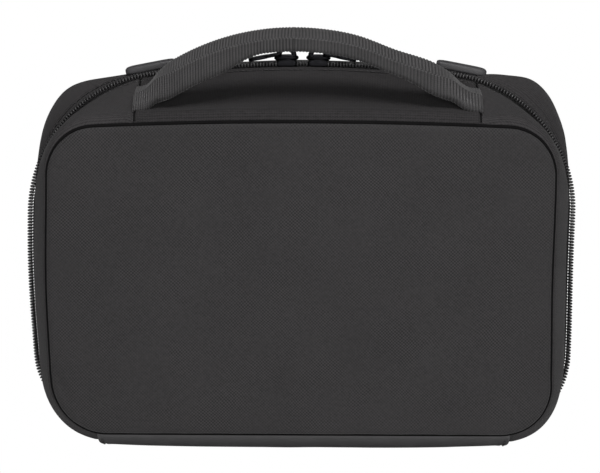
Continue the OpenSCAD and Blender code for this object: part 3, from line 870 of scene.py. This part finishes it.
# %% Cut sheets
def cut_sheet(name, loops, y0, y1, bevel, material, body, stands_for):
    """A sheet in the plane of the face, from depth y0 to y1.

    Its first loop is the edge and the rest are holes.
    """
    flat_curve = bpy.data.curves.new(name + "_curve", "CURVE")
    flat_curve.dimensions = "2D"
    flat_curve.fill_mode = "BOTH"
    for loop in loops:
        spline = flat_curve.splines.new("POLY")
        spline.points.add(len(loop) - 1)
        flat = np.column_stack([loop, np.zeros(len(loop)), np.ones(len(loop))])
        spline.points.foreach_set("co", flat.astype(np.float32).ravel())
        spline.use_cyclic_u = True
    flat_curve.extrude = abs(y1 - y0) / 2 - bevel
    flat_curve.bevel_depth = bevel
    flat_curve.bevel_resolution = 2
    flat_curve.offset = -bevel
    holder = bpy.data.objects.new(name + "_curve", flat_curve)
    bpy.context.scene.collection.objects.link(holder)
    mesh = bpy.data.meshes.new_from_object(holder.evaluated_get(bpy.context.evaluated_depsgraph_get()))
    bpy.data.objects.remove(holder)
    co = np.zeros(len(mesh.vertices) * 3, np.float32)
    mesh.vertices.foreach_get("co", co)
    co = co.reshape(-1, 3)
    placed = np.stack([co[:, 0], co[:, 2] + (y0 + y1) / 2, co[:, 1]], -1) * MM
    mesh.vertices.foreach_set("co", placed.astype(np.float32).ravel())
    shape = bmesh.new()
    shape.from_mesh(mesh)
    bmesh.ops.remove_doubles(shape, verts=shape.verts, dist=0.00001)
    bmesh.ops.recalc_face_normals(shape, faces=shape.faces)
    shape.to_mesh(mesh)
    shape.free()
    mesh.polygons.foreach_set("use_smooth", np.ones(len(mesh.polygons), bool))
    mesh.set_sharp_from_angle(angle=np.radians(40))
    mesh.materials.clear()
    mesh.materials.append(material)
    piece = bpy.data.objects.new(name, mesh)
    bpy.context.scene.collection.objects.link(piece)
    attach(piece, body)
    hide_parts(*stands_for)
    print(name, len(mesh.vertices), "points")
    return piece


def rounded_hole(x0, x1, z0, z1, r, steps=8):
    """A rectangle with quarter-circle corners."""
    a = np.linspace(0, np.pi / 2, steps)
    corners = [(x1 - r, z1 - r, 0), (x0 + r, z1 - r, 1), (x0 + r, z0 + r, 2), (x1 - r, z0 + r, 3)]
    arcs = [np.stack([cx + r * np.cos(a + q * np.pi / 2), cz + r * np.sin(a + q * np.pi / 2)], -1)
            for cx, cz, q in corners]
    return np.concatenate(arcs)


FOAM_RIM, FOAM_WALL, POCKET_R = 14.0, 9.0, 5.0
foam_inset = shell_t + lining_t + 1.1
pocket_low, pocket_high = face_base + FOAM_RIM - 4, face_top - FOAM_RIM + 2
pocket_h = (pocket_high - pocket_low - FOAM_WALL) / 2
pocket_area = 2 * (face_half_w - FOAM_RIM)
for half, name, columns in ((NEAR, "near", 4), (FAR, "far", 3)):
    floor_low, floor_high = node_box(name + "_foam_floor")
    grid_low, grid_high = node_box(name + "_foam_grid")
    edge = np.stack([v[0] for v in outline(half, [abs(floor_low[1] + floor_high[1]) / 2], foam_inset)], -1)
    rim = np.stack([v[0] for v in outline(half, [max(abs(grid_low[1]), abs(grid_high[1]))], foam_inset)], -1)
    pocket_w = (pocket_area - (columns - 1) * FOAM_WALL) / columns
    starts = [(-pocket_area / 2 + c * (pocket_w + FOAM_WALL), pocket_low + r * (pocket_h + FOAM_WALL))
              for c in range(columns) for r in range(2)]
    holes = [rounded_hole(x, x + pocket_w, z, z + pocket_h, POCKET_R) for x, z in starts]
    floor = cut_sheet(name + "_foam_floor_pad", [edge], floor_low[1], floor_high[1], 0.6, foam,
                      name + "_half", [name + "_foam_floor"])
    tray = cut_sheet(name + "_foam_tray", [rim] + holes, grid_low[1], grid_high[1], 1.2, foam, name + "_half",
                     [name + "_foam_grid"])
    back_low, back_high = node_box(name + "_lining_face")
    back = np.stack([v[0] for v in outline(half, [abs(back_low[1])], shell_t + lining_t + 0.6)], -1)
    cover = cut_sheet(name + "_lining_face_cloth", [back], back_low[1], back_high[1], 0.2, lining,
                      name + "_half", [name + "_lining_face"])
    print(name, columns, "x 2 pockets of", round(pocket_w, 1), "x", round(pocket_h, 1), "mm")

# %% [markdown]
# ## Handle
# The handle is 25 mm webbing folded round a soft cord and sewn shut, which leaves a ridge along its
# front. At both ends the fold opens, and the webbing lies flat on the gusset under the cross seam.
# The ribs are real relief: they run across the webbing and turn a corner at the ridge.


# %% Handle shape
web_low, web_high = node_box("handle_webbing")
HANDLE_SPAN = seam_x + 0.6
HANDLE_Y = (web_low[1] + web_high[1]) / 2
GRIP_T = 11.5
HANDLE_TOP = web_high[2] - GRIP_T / 2
HANDLE_DROP = 32.0
HANDLE_LEAN = 6.6
AROUND = 72


def top_z(half, x, depth):
    """Height of the arched top of a half over x, at a depth from the zip plane."""
    u = np.clip((seam_y - depth) / (seam_y - fold_y), 0, 1)
    if half == NEAR:
        rise = 0.2 * np.sin(np.clip(u / 0.12, 0, 1) * np.pi / 2) + 0.8 * u**1.1
    else:
        rise = 1 - (1 - u) ** 2.2
    radius = 1 / mix(1 / FACE_ARCH_R, 1 / ZIP_ARCH_R, u)
    return mix(face_top, fold_top[half], rise) - sag(x, radius)


def section_loop(corners, radii):
    """A closed section through corners, each rounded by its own radius, as evenly spaced points.

    Each corner becomes a quadratic curve between two points that lie a radius from it. The loop
    is then measured and cut into equal steps from the first corner.
    """
    corners = np.asarray(corners, float)
    t = np.linspace(0, 1, 12)[:, None]
    parts = []
    for i, at in enumerate(corners):
        before, after = corners[i - 1], corners[(i + 1) % len(corners)]
        a = at + (before - at) / np.linalg.norm(before - at) * radii[i]
        b = at + (after - at) / np.linalg.norm(after - at) * radii[i]
        parts.append((1 - t) ** 2 * a + 2 * t * (1 - t) * at + t**2 * b)
    loop = np.concatenate(parts)
    loop = np.concatenate([loop[6:], loop[:7]])
    s = np.concatenate([[0], np.cumsum(np.hypot(*np.diff(loop, axis=0).T))])
    at = np.linspace(0, s[-1], AROUND, endpoint=False)
    return np.stack([np.interp(at, s, loop[:, 0]), np.interp(at, s, loop[:, 1])], -1), s[-1]


GRIP, GRIP_ROUND = section_loop([(-7.3, 0.7), (-6.4, -5.6), (5.8, -5.6), (7.2, 1.0), (1.5, 5.9)],
                                (0.5, 2.4, 3.0, 3.0, 4.0))
SEWN, _ = section_loop([(-1.5, 3.6), (-9.4, 0.6), (-9.2, -2.4), (11.4, -2.4), (12.0, 1.0)],
                       (1.2, 1.2, 0.8, 0.8, 1.6))


def handle_half(side):
    """Sections along a parabola, from the folded grip to the webbing sewn flat on the gusset.

    Each section is a mix of the two loops. The ribs are humps of a sine of the distance along the
    handle, pushed out along the section's normal, with half a step between the bands on either
    side of the ridge.
    """
    steps = 6 * int(HANDLE_SPAN / RIB_MM)
    x = side * np.linspace(0, HANDLE_SPAN + 0.4, steps)[:, None]
    open_up = ease((np.abs(x) - 60) / 23)[..., None]
    flat = ease((np.abs(x) - 69) / 14)
    slope = 2 * HANDLE_DROP * np.abs(x) / 86**2
    stretch_z = mix(1.06 * np.sqrt(1 + slope**2), 1, flat)
    slack = 5.2 * ease((np.abs(x) - 14) / 26) if side < 0 else 3.6 * ease((np.abs(x) - 46) / 22)
    loop = mix(GRIP[None], SEWN[None], open_up)
    below = np.clip((0.7 - loop[..., 1]) / 6.3, 0, 1)
    hang = slack * (1 - ease((np.abs(x) - 75) / 8)) * below
    loop = np.stack([loop[..., 0] + 0 * x, loop[..., 1] * stretch_z - hang], -1)
    way = np.roll(loop, -1, 1) - np.roll(loop, 1, 1)
    normal = np.stack([way[..., 1], -way[..., 0]], -1) / np.linalg.norm(way, axis=-1, keepdims=True)
    around = np.broadcast_to((np.arange(AROUND) / AROUND)[None, :], loop.shape[:2])
    if np.sum(normal * (loop - loop.mean(1, keepdims=True))) < 0:
        normal = -normal
    z_mid = HANDLE_TOP - HANDLE_DROP * (x / 86) ** 2 - 1.7 * np.exp(-(((x - 46) / 12) ** 2))
    run = np.concatenate([[0], np.cumsum(np.hypot(np.diff(x[:, 0]), np.diff(z_mid[:, 0])))])[:, None]
    front = (around < 0.5) * 1.0
    slant = 0.5 * RIB_MM * front + 1.1 * np.minimum(around, 1 - around) * mix(1.0, 0.2, front)
    rib = np.abs(np.sin(np.pi * (run + slant) / RIB_MM)) ** 0.7 - 0.75
    uneven = 1 + 0.25 * np.sin(run / 3.1 + 9 * around) * np.sin(run / 7.7)
    ridge = 0.32 * np.exp(-(np.minimum(around, 1 - around) / 0.012) ** 2)
    loop = loop + normal * (0.42 * rib * uneven * (1 - ridge) + ridge)[..., None]
    y = HANDLE_Y + loop[..., 0]
    on_top = top_z(NEAR, x + SEAM_SHIFT, -y) + 2.3
    z = mix(z_mid, on_top, flat) + loop[..., 1]
    z = z - ease((np.abs(x) - HANDLE_SPAN + 0.8) / 2.2) * 2.4
    lean = SEAM_SHIFT - HANDLE_LEAN * (1 - (x / HANDLE_SPAN) ** 2)
    points = np.stack([x + lean + 0 * z, y, z], -1).reshape(-1, 3)
    quads = np.concatenate([grid_faces(steps, AROUND, wrap_cols=True), strip_cap(0, AROUND)[:, ::-1],
                            strip_cap((steps - 1) * AROUND, AROUND)])
    uv = np.stack([(run + slant).reshape(-1), (around * GRIP_ROUND).reshape(-1)], -1)
    name = "left" if side < 0 else "right"
    stands_for = ["handle_end_" + name] + (["handle_webbing"] if side < 0 else [])
    piece = make_piece("handle_webbing_" + name, points, quads, webbing, None, uv, stands_for)
    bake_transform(piece)
    print("  flat 25 x", round(run[-1, 0]), "mm")
    return piece


handle_half(-1)
handle_half(1)
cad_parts["handle_core"].data.materials.clear()
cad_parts["handle_core"].data.materials.append(core)

# %% [markdown]
# ## Sliders, pullers and tabs
# Small cast and moulded parts have no sharp edges, so they start as superellipsoids, which go from
# a ball to a box as two exponents shrink, and as rounded bars carried along a path. They are
# drawn at the crest of the arch, then turned about its centre to where the frame has them.


# %% Small hard shapes
def signed_power(value, power):
    """The value raised to the power with its sign kept."""
    return np.sign(value) * np.abs(value) ** power


def pebble(centre, half_size, edge=0.35, plan=0.5, rows=22, cols=40):
    """A superellipsoid: edge rounds its rim in height and plan rounds its outline from above."""
    v = np.linspace(-np.pi / 2, np.pi / 2, rows)[1:-1, None]
    u = (np.arange(cols) * 2 * np.pi / cols)[None, :]
    ring = signed_power(np.cos(v), edge)
    x = half_size[0] * ring * signed_power(np.cos(u), plan)
    y = half_size[1] * ring * signed_power(np.sin(u), plan)
    z = half_size[2] * np.broadcast_to(signed_power(np.sin(v), edge), x.shape)
    points = np.stack([x, y, z], -1).reshape(-1, 3) + np.asarray(centre, float)
    rows = rows - 2
    quads = np.concatenate([grid_faces(rows, cols, wrap_cols=True), strip_cap(0, cols)[:, ::-1],
                            strip_cap((rows - 1) * cols, cols)])
    return points, quads


def bar_along(path, half_w, half_t, closed=False, power=0.5, sides=16):
    """A rounded bar: a superellipse, wide across y and thin in the plane, carried along an x-z path."""
    path = np.asarray(path, float)
    if closed:
        way = np.roll(path, -1, 0) - np.roll(path, 1, 0)
    else:
        way = np.gradient(path, axis=0)
    way /= np.linalg.norm(way, axis=1)[:, None]
    normal = np.stack([-way[:, 1], way[:, 0]], -1)
    a = np.arange(sides) * 2 * np.pi / sides
    across, out = half_w * signed_power(np.cos(a), power), half_t * signed_power(np.sin(a), power)
    flat = path[:, None, :] + normal[:, None, :] * out[None, :, None]
    depth = np.broadcast_to(across, flat.shape[:2])
    points = np.stack([flat[..., 0], depth, flat[..., 1]], -1).reshape(-1, 3)
    n = len(path)
    quads = grid_faces(n, sides, wrap_rows=closed, wrap_cols=True)
    if not closed:
        quads = np.concatenate([quads, strip_cap(0, sides)[:, ::-1], strip_cap((n - 1) * sides, sides)])
    return points, quads


def corner_path(corners, radius, steps=7):
    """A run of straight lines in a plane with each inner corner rounded by a quadratic curve."""
    corners = np.asarray(corners, float)
    t = np.linspace(0, 1, steps)[:, None]
    path = [corners[:1]]
    for before, at, after in zip(corners[:-2], corners[1:-1], corners[2:]):
        a = at + (before - at) / np.linalg.norm(before - at) * radius
        b = at + (after - at) / np.linalg.norm(after - at) * radius
        path.append((1 - t) ** 2 * a + 2 * t * (1 - t) * at + t**2 * b)
    return np.concatenate(path + [corners[-1:]])


def gather(shapes):
    """Several closed shapes as one set of points and quads, each turned to face outwards."""
    points, quads, first = [], [], 0
    for p, q in shapes:
        points.append(p)
        quads.append((q if volume(p, q) > 0 else q[:, ::-1]) + first)
        first += len(p)
    return np.concatenate(points), np.concatenate(quads)


# %% Sliders and pullers
PLATE_Z, PLATE_T, PLATE_W = 0.95, 1.2, 8.8
BRIDGE_W, BRIDGE_H, BRIDGE_L, LEG = 3.0, 5.4, 10.0, 2.3
SLIDER_X = 7.8
slider_turn = np.arcsin(SLIDER_X / ZIP_ARCH_R)


def on_arch(points, side):
    """Moves a shape drawn at the crest of the zip to its place beside it, mirrored on the left."""
    x = points[:, 0] * side
    z = points[:, 2] + ZIP_ARCH_R
    c, s = np.cos(side * slider_turn), np.sin(side * slider_turn)
    return np.stack([x * c + z * s, points[:, 1], z * c - x * s + crest_top - ZIP_ARCH_R], -1)


def droop(shape, start, amount):
    """Bends a plate down towards the nose of the slider, past a start on the inner side."""
    points, quads = shape
    points = points.copy()
    points[:, 2] -= amount * np.clip(start - points[:, 0], 0, None) ** 2
    points[:, 1] *= 1 - 0.035 * np.clip(points[:, 0] + 1, 0, None)
    return points, quads


def slider(side):
    """Upper and lower plates joined by the wedge between the coils and by the flange on one side."""
    low_z = -shell_t - tape_t - 0.4 - PLATE_T / 2
    slab = pebble((0, 0, PLATE_Z + PLATE_T / 2), (5.3, PLATE_W / 2, PLATE_T / 2 + 0.1), 0.5, 0.55)
    upper = droop(slab, -1.5, 0.09)
    lower = pebble((0, 0, low_z), (5.0, PLATE_W / 2, PLATE_T / 2), 0.5, 0.55)
    wedge = pebble((-3.2, 0, -1.0), (1.7, 0.3, 2.4), 0.3, 0.6, 12, 16)
    flange = pebble((0, -PLATE_W / 2 + 0.45, 0.1), (4.7, 0.45, 1.5), 0.4, 0.4, 14, 24)
    points, quads = gather([upper, lower, wedge, flange])
    name = "left" if side < 0 else "right"
    make_piece(name + "_slider_cast", on_arch(points, side), quads, nickel, name + "_slider",
               stands_for=[name + "_slider_body"], sharp=50)
    foot = PLATE_Z + PLATE_T - 0.3
    mid = LEG / 2
    corners = [(-BRIDGE_L / 2 + mid, foot), (-BRIDGE_L / 2 + mid, foot + BRIDGE_H + 0.3 - 0.7),
               (BRIDGE_L / 2 - mid, foot + BRIDGE_H + 0.3 - 0.7), (BRIDGE_L / 2 - mid, foot)]
    arch = bar_along(corner_path(corners, 4.0, 12), BRIDGE_W / 2, 1.25, power=0.6)
    root = pebble((0, 0, foot + 0.6), (BRIDGE_L / 2 + 1.0, 1.9, 1.7), 0.8, 0.7, 14, 32)
    points, quads = gather([arch, root])
    make_piece(name + "_slider_loop", on_arch(points, side), quads, nickel, name + "_slider",
               stands_for=[name + "_slider_bridge"], sharp=50)


def eye_plate(x0, x1, half_w, z, half_t, eye_x, eye_r, cols=48):
    """A flat plate with an eye: an edge profile swept from its outline in to the hole and back."""
    u = np.arange(cols) * 2 * np.pi / cols
    middle, half_l = (x0 + x1) / 2, (x1 - x0) / 2
    outer = np.stack([middle + half_l * signed_power(np.cos(u), 0.55),
                      half_w * signed_power(np.sin(u), 0.55)], -1)
    inner = np.stack([eye_x + eye_r * np.cos(u), eye_r * np.sin(u)], -1)
    way = np.array([0, 0.02, 0.07, 0.5, 0.9, 0.97, 1.0, 0.97, 0.9, 0.5, 0.07, 0.02])
    up = np.array([0, 0.65, 1, 1, 1, 0.65, 0, -0.65, -1, -1, -1, -0.65]) * half_t
    plan = outer[None] + (inner - outer)[None] * way[:, None, None]
    height = np.broadcast_to(z + up[:, None], plan.shape[:2])
    points = np.concatenate([plan, height[..., None]], -1).reshape(-1, 3)
    return points, grid_faces(len(way), cols, wrap_rows=True, wrap_cols=True)


PULL_TILT = np.radians(10)


def puller(side):
    """A wire loop through the bridge with a flat plate clenched on it, drooping by its own weight."""
    bar_x, bar_z, half_w, wire = BRIDGE_L / 2 - 1.4 - 0.8, 4.4, 2.2, 0.7
    far_x = bar_x + 7.2
    corners = [(far_x, 0), (far_x, half_w), (bar_x, half_w), (bar_x, -half_w), (far_x, -half_w), (far_x, 0)]
    path = corner_path(corners, 1.1, 6)
    flat = np.column_stack([path, np.full(len(path), bar_z)])
    loop = tube(flat, wire, 10, across=(0, 0, 1.0))
    plate = eye_plate(bar_x + 5.6, bar_x + 16, 2.8, bar_z, 0.8, bar_x + 13.2, 1.2)
    points, quads = gather([loop, plate])
    reach, rise = points[:, 0] - bar_x, points[:, 2] - bar_z
    c, s = np.cos(PULL_TILT), np.sin(PULL_TILT)
    points = np.stack([bar_x + reach * c + rise * s, points[:, 1], bar_z + rise * c - reach * s], -1)
    name = "left" if side < 0 else "right"
    make_piece(name + "_pull", on_arch(points, side), quads, nickel, name + "_puller",
               stands_for=[name + "_puller"], sharp=50)


for side in (-1, 1):
    slider(side)
    puller(side)


# %% Rubber tabs
TAB_L, TAB_W, TAB_T, TAB_TILT = 25.0, 9.0, 4.0, np.radians(11)
TAB_SHIFT = 1.5
TAB_SPREAD = 0.2


def tab(side):
    """A round-ended bar on one long foot that leans with the top of the case."""
    name = "left" if side < 0 else "right"
    low, high = node_box("tab_" + name)
    x_mid, y_mid = (low[0] + high[0]) / 2 + TAB_SHIFT - TAB_SPREAD * side, (low[1] + high[1]) / 2
    ground = top_z(FAR, x_mid, y_mid)
    bar = pebble((0, 0, 2.4), (TAB_L / 2, TAB_W / 2, TAB_T / 2), 0.42, 0.3, 30, 72)
    foot = pebble((0, 0, 0.3), (TAB_L / 2 - 1.6, 3.4, 1.7), 0.4, 0.4, 14, 48)
    points, quads = gather([bar, foot])
    c, s = np.cos(side * TAB_TILT), np.sin(side * TAB_TILT)
    x = points[:, 0] * c + points[:, 2] * s + x_mid
    z = points[:, 2] * c - points[:, 0] * s + ground
    placed = np.stack([x, points[:, 1] + y_mid, z], -1)
    make_piece("tab_rubber_" + name, placed, quads, rubber, "far_half",
               stands_for=["tab_" + name])


tab(-1)
tab(1)

# %% [markdown]
# ## Studio
# An even white surround and three soft panels: a large one in front, a weak one on the right and
# one above that lights the top of the case. A pale floor only throws light up under the case. The
# camera doesn't see it and it casts no shadow, so the far half stays in view when it hangs open.

# %% Floor, light and camera
ROOM_LIGHT = 0.1
floor_mesh = bpy.data.meshes.new("studio_floor")
size = 6.0
floor_corners = [(-size, -size, 0), (size, -size, 0), (size, size, 0), (-size, size, 0)]
floor_mesh.from_pydata(floor_corners, [], [(0, 1, 2, 3)])
floor = bpy.data.objects.new("studio_floor", floor_mesh)
bpy.context.scene.collection.objects.link(floor)
floor.location.z = -0.0003
paper, paper_tree, paper_shader = new_material("studio_paper", Roughness=0.9)
paper_shader.inputs["Base Color"].default_value = (0.9, 0.9, 0.9, 1)
paper_shader.inputs["Emission Color"].default_value = (1, 1, 1, 1)
looked_at = add(paper_tree, "ShaderNodeLightPath").outputs["Is Camera Ray"]
glow = add(paper_tree, "ShaderNodeMath", {0: looked_at, 1: 0.93}, operation="MULTIPLY")
paper_tree.links.new(glow.outputs[0], paper_shader.inputs["Emission Strength"])
floor_mesh.materials.append(paper)
floor.visible_camera = False
floor.visible_shadow = False

world = bpy.data.worlds.new("studio_surround")
bpy.context.scene.world = world
world.use_nodes = True
surround = world.node_tree.nodes["Background"]
surround.inputs["Color"].default_value = (1, 1, 1, 1)
seen = add(world.node_tree, "ShaderNodeLightPath").outputs["Is Camera Ray"]
strength = add(world.node_tree, "ShaderNodeMath", {0: seen, 1: 1 - ROOM_LIGHT, 2: ROOM_LIGHT},
               operation="MULTIPLY_ADD")
world.node_tree.links.new(strength.outputs[0], surround.inputs["Strength"])


def soft_panel(name, place, aim, width, power):
    """A square area light at a place, aimed at a point."""
    data = bpy.data.lights.new(name, "AREA")
    data.size = width
    data.energy = power
    lamp = bpy.data.objects.new(name, data)
    lamp.location = place
    lamp.rotation_euler = (Vector(aim) - Vector(place)).to_track_quat("-Z", "Y").to_euler()
    bpy.context.scene.collection.objects.link(lamp)


soft_panel("front_panel", (0.14, -1.6, 0.4), (0, 0, 0.1), 0.9, 13)
soft_panel("right_panel", (1.3, -0.6, 0.35), (0, 0, 0.1), 0.5, 0.5)
soft_panel("top_panel", (0.05, -0.45, 1.35), (0, 0, 0.15), 0.5, 12)
bpy.context.scene.view_settings.view_transform = "Standard"

CAMERA_AIM, CAMERA_DISTANCE = Vector((-0.0012, 0, 0.0995)), 1.1
CAMERA_TURN, CAMERA_LIFT = np.radians(0.9), np.radians(12)
camera_data = bpy.data.cameras.new("camera")
camera_data.lens = 132.7
camera_data.sensor_width = 36
camera = bpy.data.objects.new("camera", camera_data)
toward = Vector((np.sin(CAMERA_TURN) * np.cos(CAMERA_LIFT), -np.cos(CAMERA_TURN) * np.cos(CAMERA_LIFT),
                 np.sin(CAMERA_LIFT)))
camera.location = CAMERA_AIM + CAMERA_DISTANCE * toward
camera.rotation_euler = (-toward).to_track_quat("-Z", "Y").to_euler()
bpy.context.scene.collection.objects.link(camera)
bpy.context.scene.camera = camera
